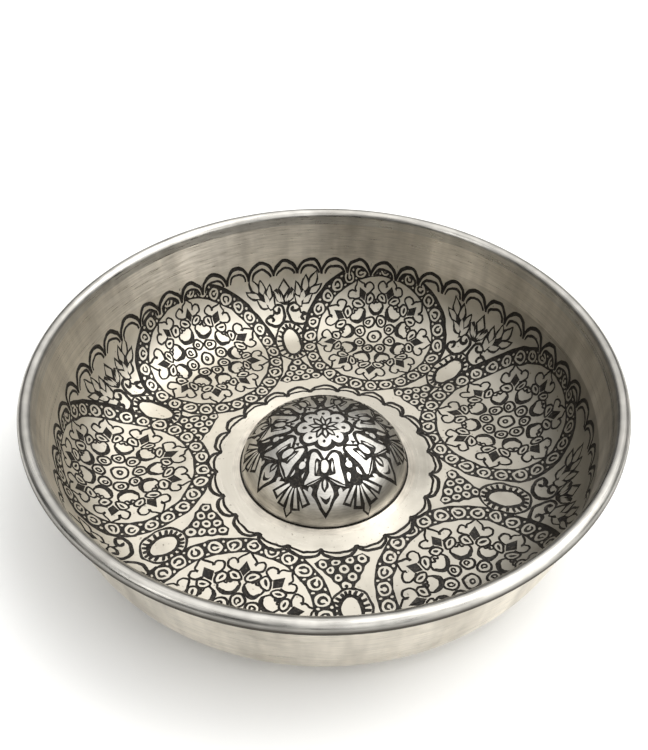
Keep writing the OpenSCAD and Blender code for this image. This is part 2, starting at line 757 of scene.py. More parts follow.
@dataclass(frozen=True)
class EngravedSheet(SpunMetal):
    """The engraved belt of the silvered sheet: matt and pale with no grain, soiled in specks and clouds.

    The belt starts at a distance from the axis, outside the arches round the boss, and ends at a height,
    under the plain wall. The colour darkens towards one side of the inside, as painted shade.
    """

    name: str = "silvered_brass_satin"
    satin_colour: str = "#D4CEC1"
    soil: str = "#7C766A"
    satin: float = 0.55
    speck_mm: float = 1.4
    starts_mm: tuple[float, float] = (38.5, 41.5)
    ends_mm: tuple[float, float] = (29.0, 25.5)
    shade_way: tuple[float, float, float] = (0.94, -0.34, 0.0)
    shade_mm: tuple[float, float] = (5.0, 75.0)
    shade_leaves: float = 0.60

    def weather(self, look: Look) -> None:
        """Adds the satin ground of the belt, the soil in it and the painted shade on one side.

        Args:
            look: The finish so far.
        """
        add, shader = look.add, look.shader
        start, full = (MM * edge for edge in self.starts_mm)
        starts = add("ShaderNodeMapRange", {1: start, 2: full}, Value=look.reach).outputs[0]
        stop, full = (MM * edge for edge in self.ends_mm)
        ends = add("ShaderNodeMapRange", {1: stop, 2: full}, Value=look.height).outputs[0]
        belt = add("ShaderNodeMath", {"operation": "MULTIPLY"}, in_0=starts, in_1=ends).outputs[0]
        fine = {"Scale": 1 / (self.speck_mm * MM), "Detail": 1.0}
        specks = add("ShaderNodeTexNoise", fine, Vector=look.where).outputs[0]
        dots = add("ShaderNodeMapRange", {1: 0.70, 2: 0.78, 4: 0.7}, Value=specks).outputs[0]
        mottle = add("ShaderNodeMapRange", {4: 0.45}, Value=look.cloud).outputs[0]
        dirt = add("ShaderNodeMath", {"operation": "MAXIMUM"}, in_0=dots, in_1=mottle).outputs[0]
        soiled = {"data_type": "RGBA", 6: linear(self.satin_colour), 7: linear(self.soil)}
        ground = add("ShaderNodeMix", soiled, in_0=dirt).outputs[2]
        laid = {"in_0": ends, "in_6": shader["Base_Color"], "in_7": ground}
        colour = add("ShaderNodeMix", {"data_type": "RGBA"}, **laid).outputs[2]
        # Painted shade: the colour darkens towards one side of the bowl
        aside = {"operation": "DOT_PRODUCT", 1: self.shade_way}
        toward = add("ShaderNodeVectorMath", aside, in_0=look.where).outputs["Value"]
        start, full = (MM * edge for edge in self.shade_mm)
        darkens = {1: start, 2: full, 3: 1.0, 4: self.shade_leaves}
        side_shade = add("ShaderNodeMapRange", darkens, Value=toward).outputs[0]
        dimmed = add("ShaderNodeVectorMath", {"operation": "SCALE"}, in_0=colour, Scale=side_shade)
        shader["Base_Color"] = dimmed.outputs[0]
        matt = {"data_type": "FLOAT", 3: self.satin}
        shader["Roughness"] = add("ShaderNodeMix", matt, in_0=belt, in_2=shader["Roughness"]).outputs[0]
        shader["Anisotropic"] = add("ShaderNodeMapRange", {3: self.grain, 4: 0.0}, Value=belt).outputs[0]


@dataclass(frozen=True)
class RubbedRim(SpunMetal):
    """The silvered rolled rim, rubbed bright by hands, with painted shade in dull black on its lower outer
    side.
    """

    name: str = "silvered_brass_rubbed"
    colour: str = "#CAC7C0"
    tarnish: str = "#B3AFA7"
    roughness: float = 0.30
    grain: float = 0.3
    painted_shade: str = "#3A352D"
    shade_roughness: float = 0.85
    shade_z_mm: tuple[float, float] = (47.3, 45.9)
    shade_reach_mm: tuple[float, float] = (96.6, 97.8)

    def weather(self, look: Look) -> None:
        """Adds the painted shade, a dull black that hides the metal on the lower outer side of the rim.

        Args:
            look: The finish so far.
        """
        add, shader = look.add, look.shader
        # Painted shade: low on the rim and towards its outer side, the colour turns a dull black that is
        # not metal
        start, full = (MM * edge for edge in self.shade_z_mm)
        low = add("ShaderNodeMapRange", {1: start, 2: full}, Value=look.height).outputs[0]
        start, full = (MM * edge for edge in self.shade_reach_mm)
        outer = add("ShaderNodeMapRange", {1: start, 2: full}, Value=look.reach).outputs[0]
        painted_shade = add("ShaderNodeMath", {"operation": "MULTIPLY"}, in_0=low, in_1=outer).outputs[0]
        dark = {"data_type": "RGBA", 7: linear(self.painted_shade)}
        shader["Base_Color"] = add("ShaderNodeMix", dark, in_0=painted_shade, in_6=shader["Base_Color"]).outputs[2]
        dull = {"data_type": "FLOAT", 3: self.shade_roughness}
        shader["Roughness"] = add("ShaderNodeMix", dull, in_0=painted_shade, in_2=shader["Roughness"]).outputs[0]
        shader["Metallic"] = add("ShaderNodeMapRange", {3: 1.0, 4: 0.0}, Value=painted_shade).outputs[0]


@dataclass(frozen=True)
class BlackenedCut:
    """The floor of the cuts, left rough by the graver and blackened: a dull warm black."""

    name: str = "blackened_engraving"
    colour: str = "#1C1915"
    worn: str = "#4E473D"
    metallic: float = 0.5
    roughness: float = 0.55
    grain_mm: float = 0.8

    def make(self) -> bpy.types.Material:
        """Makes the material.

        Returns:
            The material.
        """
        material, tree = empty_material(self.name)
        add = partial(add_node, tree)
        where = add("ShaderNodeTexCoord").outputs["Object"]
        fine = {"Scale": 1 / (self.grain_mm * MM), "Detail": 2.0}
        grain = add("ShaderNodeTexNoise", fine, Vector=where).outputs[0]
        blend = add("ShaderNodeMapRange", {1: 0.50, 2: 0.85}, Value=grain).outputs[0]
        black = {"data_type": "RGBA", 6: linear(self.colour), 7: linear(self.worn)}
        colour = add("ShaderNodeMix", black, in_0=blend).outputs[2]
        dull = {"Metallic": self.metallic, "Roughness": self.roughness}
        surface = add("ShaderNodeBsdfPrincipled", dull, Base_Color=colour)
        add("ShaderNodeOutputMaterial", Surface=surface.outputs[0])
        return material


@dataclass
class Medallion:
    """A round medallion: a flower wreath on a bright disc in a border of curled roundels.

    Points of a motif are in mm, along and across the way out of its middle.
    """

    centre: float
    azimuth: float
    florets: int = 9
    phase: float = 0.0
    along: float = 1.06
    across: float = 0.95
    disc: float = 25.3
    border: float = 31.7
    roundels: int = 28
    curls: int = 8
    line_w: float = 0.85

    def engrave(self, drawing: Drawing) -> None:
        """Draws the medallion on the unrolled face.

        Args:
            drawing: The drawing that gets the cuts.
        """
        origin = self.centre * np.exp(1j * math.radians(self.azimuth))
        place = Place.at(complex(origin), self.azimuth, self.along, self.across)
        drawing.fill(place(oval(0, self.border, self.border, 96)), Tone.CUT)
        for half in place.halves():
            drawing.line(half(arc(0, self.border + 0.2, 30, 105, 6)), 1.5, (0.5, 0.2))
        drawing.fill(place(oval(0, self.disc, self.disc, 84)), Tone.BRIGHT)
        self.border_roundels(drawing, place)
        self.heart(drawing, place)
        step = 360 / self.florets
        for i in range(self.florets):
            self.bud(drawing, place.then(0, self.phase + (i + 0.5) * step))
        for i in range(self.florets):
            self.floret(drawing, place.then(0, self.phase + i * step))

    def border_roundels(self, drawing: Drawing, place: Place) -> None:
        """Draws the curled roundels of the border with small studs between them.

        Args:
            drawing: The drawing that gets the cuts.
            place: Where the motif sits on the drawing.
        """
        middle = (self.disc + self.border) / 2
        step = 360 / self.roundels
        bridge = [0.3 - 0.1j, 1.9 + 0.1j, 1.7 + 0.9j, 0.4 + 0.5j]
        for i in range(self.roundels):
            spot = place.then(0, i * step)
            drawing.fill(spot(oval(middle, 2.4, 2.45, 18)), Tone.BRIGHT)
            drawing.fill(spot(oval(middle, 1.6, 1.65, 14)), Tone.CUT)
            drawing.fill(spot(oval(middle, 0.72, 0.75, 9)), Tone.BRIGHT)
            # The bridge that makes a curl of the ring stands another way in each roundel
            drawing.fill(spot.then(middle, 40 + 97 * i)(bridge), Tone.BRIGHT)
            stud = place.then(0, (i + 0.5) * step)
            for side in (-1.9, 1.9):
                drawing.fill(stud(oval(middle + side, 0.5, 0.5, 7)), Tone.BRIGHT)

    def heart(self, drawing: Drawing, place: Place) -> None:
        """Draws the ring in the middle and the curls round it.

        Args:
            drawing: The drawing that gets the cuts.
            place: Where the motif sits on the drawing.
        """
        for i in range(self.curls):
            spot = place.then(0, self.phase + 360 / self.curls * i)
            drawing.outline(spot(oval(7.1, 2.3, 2.3, 16)), 0.95)
            drawing.line(spot(spiral(7.1, 1.1, 0.5, 190, -1.05)), 0.8, (0.7, 0.9))
        drawing.outline(place(oval(0, 2.8, 2.8, 22)), 1.0)
        drawing.fill(place(oval(0, 1.15, 1.15, 12)), Tone.CUT)
        drawing.fill(place(oval(0, 0.35, 0.35, 6)), Tone.BRIGHT)

    def bud(self, drawing: Drawing, place: Place) -> None:
        """Draws a round bud, shaded on the side towards the middle.

        Args:
            drawing: The drawing that gets the cuts.
            place: Where the motif sits on the drawing.
        """
        drawing.outline(place(oval(12.9, 3.2, 3.4, 20)), self.line_w)
        drawing.line(place(arc(12.9, 3.0, 95, 265, 14)), 1.8, (0.3, 0.3))
        lip = [15.0 + 2.2j, 14.4 + 0.7j, 15.4, 14.4 - 0.7j, 15.0 - 2.2j]
        drawing.line(place(smooth(lip)), self.line_w)

    def floret(self, drawing: Drawing, place: Place) -> None:
        """Draws a three-petalled floret with a pair of leaf loops at its foot.

        Args:
            drawing: The drawing that gets the cuts.
            place: Where the motif sits on the drawing.
        """
        lobe = [18.4 + 1.7j, 18.5 + 3.9j, 19.6 + 5.9j, 21.6 + 6.0j]
        lobe += [22.7 + 4.6j, 22.2 + 3.1j, 21.0 + 2.7j]
        petal = [21.3 + 2.3j, 22.9 + 2.7j, 24.3 + 1.4j, 25.8]
        loop = [15.3 + 0.6j, 14.5 + 2.5j, 15.2 + 4.5j, 17.0 + 5.2j, 18.2 + 4.0j, 17.6 + 1.9j]
        for side in place.halves():
            drawing.fill(side([17.6, 17.6 + 1.4j] + lobe[1:] + petal[1:]), Tone.BRIGHT)
            drawing.line(side(smooth(lobe, per_span=3)), self.line_w, (0.8, 0.6))
            drawing.line(side(smooth(petal)), self.line_w, (0.6, 0.9))
            drawing.outline(side(smooth(loop, True, 3)), self.line_w)
            drawing.line(side(np.linspace(15.7 + 2.0j, 17.0 + 4.0j, 4)), 1.05, (0.4, 0.4))
        drawing.fill(place([16.4, 18.9 + 2.0j, 22.4 + 0.1j, 19.1 - 1.9j]), Tone.CUT)


@dataclass
class Spandrel:
    """The filling between two medallions: a leaf spray on scrolls, a rayed oval and a field of eyes.

    The spray is drawn for medallions that stand one angle apart, and is stretched to their real spread.
    Its points are in mm, out from the axis and across.
    """

    azimuth: float
    spread_deg: float = 57.0
    middle: float = 70.5
    half: float = 7.2
    tip: float = 57.2
    eye_pitch: float = 4.0
    crest: float = 0.0
    drawn_deg: float = 57.0
    eye_rows: int = 4
    row_pitch: float = 3.15
    rays: int = 20

    def engrave(self, drawing: Drawing) -> None:
        """Draws the filling on the unrolled face.

        Args:
            drawing: The drawing that gets the cuts.
        """
        place = Place.at(0j, self.azimuth, 1.0, self.spread_deg / self.drawn_deg)
        self.eyes(drawing, Place.at(0j, self.azimuth))
        self.rayed_oval(drawing, Place.at(0j, self.azimuth))
        spray = place.then(self.crest)
        self.palmette(drawing, spray)
        for side in spray.halves():
            self.sprig(drawing, side)
            self.scroll(drawing, side)

    def eyes(self, drawing: Drawing, place: Place) -> None:
        """Draws the dark field of small rings that narrows to the oval.

        Args:
            drawing: The drawing that gets the cuts.
            place: Where the motif sits on the drawing.
        """
        row, pitch = self.row_pitch, self.eye_pitch
        side = [complex(self.tip + 3.4, 2.0)]
        for count in range(1, self.eye_rows + 1):
            edge = self.tip - row * (count - 1)
            wide = pitch * (count - 1) / 2
            side += [complex(edge + 1.2, wide + 2.2), complex(edge - 0.4, wide + 2.8)]
        # The lower edge dips between the eyes of the widest row
        for rows, across in ((3.7, 1.5 * pitch + 0.4), (3.5, pitch), (3.7, 0.5 * pitch)):
            side.append(complex(self.tip - rows * row, across))
        drawing.fill(place(mirrored(side)), Tone.CUT)
        for count in range(1, self.eye_rows + 1):
            for i in range(count):
                across = (i - (count - 1) / 2) * pitch
                spot = complex(place(complex(self.tip - row * (count - 1), across)))
                drawing.fill(oval(spot, 1.48, 1.48, 14), Tone.BRIGHT)
                drawing.fill(oval(spot, 0.7, 0.7, 8), Tone.CUT)

    def rayed_oval(self, drawing: Drawing, place: Place) -> None:
        """Draws the plain oval with rays round it.

        Args:
            drawing: The drawing that gets the cuts.
            place: Where the motif sits on the drawing.
        """
        spot = place.then(self.middle)
        drawing.fill(spot(oval(0, self.half + 4.2, 7.2, 40)), Tone.CUT)
        drawing.fill(spot(oval(0, self.half + 3.2, 6.3, 40)), Tone.BRIGHT)
        drawing.fill(spot(oval(0, self.half + 1.4, 4.6, 40)), Tone.CUT)
        for i in range(self.rays):
            way = np.exp(1j * math.radians((i + 0.5) * 360 / self.rays))
            near = (self.half + 0.9) * way.real + 4.1j * way.imag
            far = (self.half + 3.0) * way.real + 6.2j * way.imag
            drawing.line(spot(np.linspace(near, far, 3)), 1.2, (1.0, 0.8))
        drawing.fill(spot(oval(0, self.half, 3.25, 36)), Tone.BRIGHT)

    def palmette(self, drawing: Drawing, place: Place) -> None:
        """Draws the fan of blades with a lozenge at its tip, above the scrolls.

        Args:
            drawing: The drawing that gets the cuts.
            place: Where the motif sits on the drawing.
        """
        fan = [88.2 + 0.9j, 90.6 + 3.6j, 94.6 + 5.0j, 95.8 + 3.4j, 94.2 + 1.6j]
        drawing.fill(place(mirrored(fan)), Tone.CUT)
        drawing.fill(place(mirrored([91.4, 95.4 + 2.7j, 100.4])), Tone.CUT)
        drawing.fill(place(mirrored([92.9, 95.5 + 1.75j, 98.7])), Tone.BRIGHT)
        blades = (
            (89.9 + 0.45j, 93.2 + 1.35j, 0.34),
            (89.7 + 1.0j, 93.8 + 2.9j, 0.42),
            (90.0 + 1.9j, 94.8 + 4.4j, 0.62),
        )
        for side in place.halves():
            for foot, tip, half in blades:
                drawing.fill(side(leaf_between(foot, tip, half)), Tone.BRIGHT)

    def sprig(self, drawing: Drawing, place: Place) -> None:
        """Draws the leaves that stand on the outer side of a scroll.

        Args:
            drawing: The drawing that gets the cuts.
            place: Where the motif sits on the drawing.
        """
        leaves = (
            (87.2 + 6.9j, 92.4 + 4.9j, 1.35),
            (88.2 + 8.2j, 91.4 + 12.4j, 1.05),
            (89.0 + 7.4j, 94.0 + 9.4j, 1.0),
            (91.6 + 7.0j, 97.2 + 6.3j, 1.1),
            (93.4 + 9.8j, 99.7 + 11.0j, 1.2),
            (94.5 + 12.2j, 101.0 + 16.0j, 1.25),
            (91.9 + 11.8j, 94.7 + 16.8j, 1.15),
        )
        drawing.fill(place(oval(93.2 + 11.0j, 1.9, 1.5, 12)), Tone.CUT)
        for foot, tip, half in leaves:
            way = (tip - foot) / abs(tip - foot)
            drawing.fill(place(leaf_between(foot - 0.9 * way, tip + 1.3 * way, half + 0.95)), Tone.CUT)
        for foot, tip, half in leaves:
            drawing.fill(place(leaf_between(foot, tip, half)), Tone.BRIGHT)

    def scroll(self, drawing: Drawing, place: Place) -> None:
        """Draws one of the two scrolls that stand back to back, curled in at both ends.

        Args:
            drawing: The drawing that gets the cuts.
            place: Where the motif sits on the drawing.
        """
        back = [88.0 + 5.2j, 88.8 + 3.4j, 87.6 + 1.4j, 85.0 + 0.7j, 82.0 + 1.4j, 80.0 + 3.2j]
        back += [79.4 + 5.8j, 80.2 + 8.2j, 82.2 + 9.3j, 84.0 + 8.6j]
        body = back + [84.4 + 7.2j, 84.3 + 6.0j, 85.4 + 5.6j, 87.0 + 5.8j]
        drawing.fill(place(smooth(body, True, 3)), Tone.BRIGHT)
        drawing.line(place(smooth(back)), 1.4, (0.6, 0.6))
        drawing.line(place(smooth(body[-5:] + body[:1])), 0.9, (0.8, 0.8))
        drawing.line(place(spiral(86.5 + 3.7j, 1.75, 0.5, 95, 0.68)), 1.4, (0.6, 1.0))
        drawing.line(place(spiral(82.3 + 7.1j, 1.75, 0.5, 62, -0.68)), 1.4, (0.6, 1.0))


@dataclass
class Scallops:
    """A border of arches drawn with a heavy line outside and a light line inside.

    The arches are uneven, as by hand: their cusps stray by a share of the pitch, their tops by a share
    of the rise, and those on one side are wider.
    """

    count: int
    foot: float
    top: float
    heavy: float
    light: float
    inset: float
    phase: float = 0.0
    inner_half: float = 0.37
    shift: complex = 0j
    wider: float = 0.0
    cusp_stray: float = 0.04
    rise_stray: float = 0.05

    def cusp(self, i: float) -> float:
        """Angle of a cusp round the bowl, in radians."""
        turn = 2 * math.pi * (i + self.cusp_stray * math.sin(78.2 * i)) / self.count
        return turn + self.wider * math.sin(turn) + math.radians(self.phase)

    def arches(self) -> list[tuple[np.ndarray, np.ndarray]]:
        """Lays out the arches.

        Returns:
            The outer and the inner line of each arch.
        """
        turn = np.linspace(-math.pi / 2, math.pi / 2, 15)
        lines = []
        for i in range(self.count):
            rise = (self.top - self.foot) * (1 + self.rise_stray * math.sin(12.9 * i))
            start, stop = self.cusp(i - 0.5), self.cusp(i + 0.5)
            middle, pitch = (start + stop) / 2, stop - start
            reach = self.foot + rise * np.cos(turn)
            outer = reach * np.exp(1j * (middle + 0.49 * pitch * np.sin(turn)))
            reach = self.foot + 0.1 + (rise - self.inset) * np.cos(turn)
            inner = reach * np.exp(1j * (middle + self.inner_half * pitch * np.sin(turn)))
            lines.append((outer + self.shift, inner + self.shift))
        return lines

    def engrave(self, drawing: Drawing) -> None:
        """Draws the border on the unrolled face.

        Args:
            drawing: The drawing that gets the cuts.
        """
        for outer, inner in self.arches():
            drawing.line(outer, self.heavy, (0.55, 0.4))
            drawing.line(inner, self.light, (0.8, 0.5))

    def clear(self, drawing: Drawing, limit: float) -> None:
        """Leaves the face standing from the inner lines of the arches to a limit beyond them.

        Args:
            drawing: The drawing that gets the cuts.
            limit: Distance from the axis where the clearing ends.
        """
        for outer, inner in self.arches():
            ends = outer[[0, -1]]
            far = limit * ends / np.abs(ends)
            drawing.fill(np.concatenate([ends[:1], inner, ends[1:], far[::-1]]), Tone.BRIGHT)


@dataclass
class Bowl:
    """The bowl: raised sheet with a turned floor, a steep wall and a rim rolled round a wire.

    Sizes are in mm, the lean in degrees. The field is the part of the unrolled face that is engraved, and
    the joint shade is a dark line of painted shade round the floor's opening, where the floor meets the
    boss.
    """

    rim_d: float = 200.0
    height: float = 48.2
    corner_r: float = 24.0
    lean: float = 8.2
    sheet: float = 0.8
    foot_w: float = 8.5
    floor_rise: float = 0.5
    wire_d: float = 3.2
    roll_gap: float = 0.05
    seam_gap: float = 0.1
    opening_d: float = 61.0
    depth: float = 0.28
    field_in: float = 33.6
    field_out: float = 112.0
    edge_round: float = 0.15
    joint_shade_w: float = 0.45
    arch_shift: complex = -0.5j
    easy_r: float = 150.0
    # Radius at which the unrolled drawing keeps its true size
    datum_r: float = 50.0
    segments: int = 192

    def __post_init__(self) -> None:
        """Works out the section from the sizes."""
        self.roll_in = self.wire_d / 2 + self.roll_gap
        self.roll_out = self.roll_in + self.sheet
        self.roll = complex(self.rim_d / 2 - self.roll_out, self.height - self.roll_out)
        lean = math.radians(self.lean)
        run = self.corner_r + self.roll_in + (self.roll.imag - self.corner_r) * math.sin(lean)
        self.corner = complex(self.roll.real - run / math.cos(lean), self.corner_r)
        self.foot = self.corner.real - self.foot_w
        self.neck = self.opening_d / 2
        self.slope = math.degrees(math.atan2(self.floor_rise, self.foot - self.neck))
        self.edge_z = self.floor_rise + self.sheet / math.cos(math.radians(self.slope))

    def floor_turn(self, height: float) -> np.ndarray:
        """The easy bend where the sloping floor runs into the foot ring.

        Args:
            height: Height of the foot ring.

        Returns:
            Points of the bend, from the floor outwards.
        """
        easy = self.easy_r
        reach = easy * math.tan(math.radians(self.slope / 2))
        return arc(complex(self.foot + reach, height + easy), easy, -90 - self.slope, -90, 1.0)

    def upper_face(self) -> np.ndarray:
        """Section of the upper face from the boss out to the rolled rim.

        Returns:
            Radius and height of its points.
        """
        return np.concatenate(
            [
                [complex(self.neck, self.edge_z)],
                self.floor_turn(self.sheet),
                arc(self.corner, self.corner_r - self.sheet, -90, -self.lean, 2.5),
                arc(self.roll, self.roll_out, 180 - self.lean, 170, 4),
            ]
        )

    def plain_path(self, section: Section) -> list[tuple[np.ndarray, Tone]]:
        """Path from the top of the engraved face over the rim and under the bowl to the boss.

        Args:
            section: Section of the upper face.

        Returns:
            The runs of the path, each with the tone of its faces.
        """
        start, stop = 180 - self.lean, self.roll_end()
        wall = section.at(np.linspace(self.field_out, section.length[-2], 6))
        edge = [complex(self.neck, self.floor_rise), complex(self.neck, self.edge_z - self.edge_round)]
        joint_shade = section.at(section.start + np.array([self.edge_round, self.joint_shade_w]))
        return [
            (wall[:-1], Tone.SPUN),
            (arc(self.roll, self.roll_out, start, stop, 9), Tone.RUBBED),
            (arc(self.roll, self.roll_in, stop, start, 24), Tone.SPUN),
            (arc(self.corner, self.corner_r, -self.lean, -90, 4), Tone.SPUN),
            (self.floor_turn(0.0)[::-1], Tone.SPUN),
            (np.array(edge[:1]), Tone.SPUN),
            # Painted shade: the face of the opening and a thin band round its top take the black of the
            # cuts, as the shade in the joint with the boss
            (np.array(edge[1:]), Tone.CUT),
            (joint_shade, Tone.CUT),
            (section.at(np.array([self.field_in])), Tone.SPUN),
        ]

    def roll_end(self) -> float:
        """Angle at which the rolled edge stops short of the wall."""
        short = math.degrees(math.acos((self.roll_in - self.seam_gap) / self.roll_out))
        return 180 - self.lean + short - 360

    def draw(self) -> Drawing:
        """Draws the engraving of the inside.

        Returns:
            The drawing on the unrolled face.
        """
        drawing = Drawing()
        # The spacing is uneven, as in the photograph: azimuth and spread in degrees, then the oval's
        # middle and half length, the tip of the eyes and their pitch, in mm
        fillings = (
            Spandrel(44.6, 56.5, 71.0),
            Spandrel(101.1, 56.5, 70.2),
            Spandrel(157.4, 54.0, 70.7, 6.8, 58.2),
            Spandrel(214.8, 62.5, 65.8, 4.6, 55.6, crest=-4.0),
            Spandrel(278.0, 66.5, 63.3, 4.4, 54.1, 4.45, crest=-6.0),
            Spandrel(345.4, 64.0, 66.5, 5.5, 55.8, crest=-4.0),
        )
        # Middle in mm, azimuth in degrees, florets, their phase in degrees, and the stretch
        medallions = (
            Medallion(73.0, 17.0, 8, 10.0),
            Medallion(75.0, 73.5, 9, -9.0),
            Medallion(75.0, 130.0, 9, -47.0),
            Medallion(74.5, 184.0, 9, 8.0),
            Medallion(72.5, 246.5, 10, 14.3, 1.02, 1.04),
            Medallion(71.0, 313.0, 9, 9.5, 0.98, 1.04),
        )
        for motif in fillings + medallions:
            motif.engrave(drawing)
        border = Scallops(count=55, foot=101.4, top=108.8, heavy=1.7, light=1.25, inset=3.4, phase=2.1)
        border.clear(drawing, 111.0)
        border.engrave(drawing)
        self.clear_band(drawing, low=32.6, high=38.6)
        self.inner_arches(drawing)
        return drawing

    def clear_band(self, drawing: Drawing, low: float, high: float) -> None:
        """Leaves a band of the face standing, right round the bowl."""
        turn = np.exp(2j * math.pi * np.arange(181) / 180)
        drawing.fill(np.concatenate([high * turn + self.arch_shift, (low * turn)[::-1]]), Tone.BRIGHT)

    def inner_arches(self, drawing: Drawing) -> None:
        """Draws the arches round the boss, each over a bright ground.

        Args:
            drawing: The drawing that gets the cuts.
        """
        arches = Scallops(
            count=23, foot=38.5, top=42.5, heavy=1.35, light=0.95, inset=2.2, phase=277.4,
            inner_half=0.46, shift=self.arch_shift, wider=0.085,
        )
        for outer, _ in arches.arches():
            drawing.fill(outer, Tone.BRIGHT)
        arches.engrave(drawing)

    def build(self, finishes: list[bpy.types.Material]) -> bpy.types.Object:
        """Builds the engraved bowl.

        Args:
            finishes: Materials of the engraved sheet, of the cuts, of the rubbed rim and of the spun wall.

        Returns:
            The piece.
        """
        face = self.upper_face()
        section = Section(face, float(face[0].real))
        offset = float(np.interp(self.datum_r, section.points.real, section.length)) - self.datum_r
        section = Section(face, float(face[0].real) - offset)
        mesh = TurnedMesh(self.segments)
        inner, outer = mesh.engrave(self.draw(), section, self.field_in, self.field_out, self.depth)
        mesh.turn(self.plain_path(section), outer, inner)
        piece = mesh.finish("engraved_bowl", finishes)
        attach(piece, "root")
        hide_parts("bowl_shell")
        return piece


@dataclass
class Boss:
    """The domed boss: a raised oval cap with a short skirt that stands in the floor's opening.

    The tulips stand at uneven azimuths, as in the photograph, and every motif is stretched to its gap
    from the one that it was drawn for. Points are in mm, out from the top and across.
    """

    skirt_r: float = 30.35
    top_z: float = 20.0
    seat_z: float = 1.3
    foot_z: float = 0.5
    sheet: float = 0.8
    depth: float = 0.26
    tulips: tuple[float, ...] = (271.0, 330.0, 385.0, 432.0, 479.0, 526.0, 578.0)
    drawn_deg: float = 56.0
    petals: int = 8
    rays: int = 10
    edge_w: float = 0.3
    groove: float = 0.25
    segments: int = 180

    def face(self, depth: float, step: float) -> np.ndarray:
        """Section of the dome from its top to its seat, at a depth below its outer face.

        Args:
            depth: Depth below the face, in mm.
            step: Turn of the oval between points, in degrees.

        Returns:
            The points, with the radius and the height as their two parts.
        """
        rise = self.top_z - self.seat_z
        turn = np.radians(np.linspace(0, 90, round(90 / step) + 1))
        out = rise * np.sin(turn) + 1j * self.skirt_r * np.cos(turn)
        face = self.skirt_r * np.sin(turn) + 1j * (self.seat_z + rise * np.cos(turn))
        return face - depth * out / np.abs(out)

    def draw(self) -> Drawing:
        """Draws the engraving of the dome, with the distance from its top as the radius.

        Returns:
            The drawing.
        """
        drawing = Drawing(0.07)
        after = np.array(self.tulips[1:] + (self.tulips[0] + 360,))
        gaps = after - np.array(self.tulips)
        between = [Place.at(0j, end - gap / 2, 1.0, gap / self.drawn_deg) for end, gap in zip(after, gaps)]
        wide = (gaps + np.roll(gaps, 1)) / (2 * self.drawn_deg)
        on_axis = [Place.at(0j, azimuth, 1.0, share) for azimuth, share in zip(self.tulips, wide)]
        for place in between:
            self.ground(drawing, place)
        for place in on_axis:
            self.pendant(drawing, place)
        for place in between:
            self.fan(drawing, place)
        for place in on_axis:
            self.tulip(drawing, place)
        for place in on_axis[1:]:
            drawing.fill(place([10.5, 12.3 + 1.0j, 12.3 - 1.0j]), Tone.CUT)
        self.rosette(drawing, Place.at(0j, self.tulips[0]))
        return drawing

    def rosette(self, drawing: Drawing, place: Place) -> None:
        """Draws the flower on the top of the dome.

        Args:
            drawing: The drawing that gets the cuts.
            place: Where the motif sits on the drawing.
        """
        petals = [place.then(0, 360 / self.petals * i) for i in range(self.petals)]
        for petal in petals:
            drawing.fill(petal(oval(7.0, 3.75, 3.9, 20)), Tone.CUT)
        for petal in petals:
            drawing.fill(petal(oval(6.6, 2.6, 2.4, 18)), Tone.BRIGHT)
        drawing.fill(place(oval(0, 6.4, 6.4, 32)), Tone.BRIGHT)
        for petal in petals:
            drawing.fill(petal(oval(6.9, 0.75, 0.65, 9)), Tone.CUT)
        rays = [place.then(0, 360 / self.rays * i + 6) for i in range(self.rays)]
        for ray in rays:
            drawing.fill(ray(leaf(5.9, 1.2, 0.6)), Tone.CUT)
        for ray in rays:
            drawing.fill(ray.then(1.5)(leaf(3.3, 0.42, 0.55)), Tone.BRIGHT)
        drawing.outline(place(oval(0, 0.85, 0.85, 10)), 0.5)

    def ground(self, drawing: Drawing, place: Place) -> None:
        """Draws the dark wedge between two tulips with the beads in it.

        Args:
            drawing: The drawing that gets the cuts.
            place: Where the motif sits on the drawing.
        """
        wedge = mirrored([12.8, 16.5 + 2.4j, 20 + 3.6j, 24.6 + 5.2j, 26 + 2j])
        drawing.fill(place(wedge), Tone.CUT)
        drawing.fill(place(oval(17.7 - 0.3j, 1.35, 1.15, 12)), Tone.BRIGHT)
        drawing.fill(place.then(19.7 + 1.6j, 28)(leaf(3.6, 0.85)), Tone.BRIGHT)
        drawing.fill(place.then(19.9 - 2.0j, -14)(leaf(3.2, 0.7)), Tone.BRIGHT)
        drawing.fill(place.then(15.0, 0)(leaf(1.5, 0.4)), Tone.BRIGHT)

    def tulip(self, drawing: Drawing, place: Place) -> None:
        """Draws a pair of curled leaves round an oval bead.

        Args:
            drawing: The drawing that gets the cuts.
            place: Where the motif sits on the drawing.
        """
        edge = [13.6, 11.8 + 1.0j, 10.2 + 2.4j, 10.0 + 4.3j]
        edge += [11.4 + 6.0j, 14.5 + 6.7j, 18.5 + 7.5j, 23.8 + 9.2j]
        ground = np.concatenate([smooth(edge, per_span=3), [22.6 + 5.0j, 21.4 + 1.6j]])
        drawing.fill(place(mirrored(ground)), Tone.CUT)
        ribbon = [14.6 + 0.9j, 12.8 + 1.8j, 11.5 + 2.9j, 11.4 + 3.9j, 12.5 + 4.7j]
        ribbon += [14.8 + 5.2j, 18.6 + 5.9j, 22.5 + 7.3j, 21.6 + 4.6j, 20.4 + 1.2j]
        ribbon += [19.8 + 2.9j, 19.2 + 3.9j, 16.4 + 3.4j, 13.9 + 3.0j, 13.4 + 2.4j]
        for half in place.halves():
            drawing.fill(half(smooth(ribbon, True, 3)), Tone.BRIGHT)
            drawing.fill(half.then(14.7 + 2.35j, 8)(leaf(4.2, 0.36)), Tone.BRIGHT)
        drawing.fill(place(oval(16.6, 3.1, 1.95, 22)), Tone.CUT)
        drawing.fill(place(oval(16.6, 2.35, 1.25, 20)), Tone.BRIGHT)

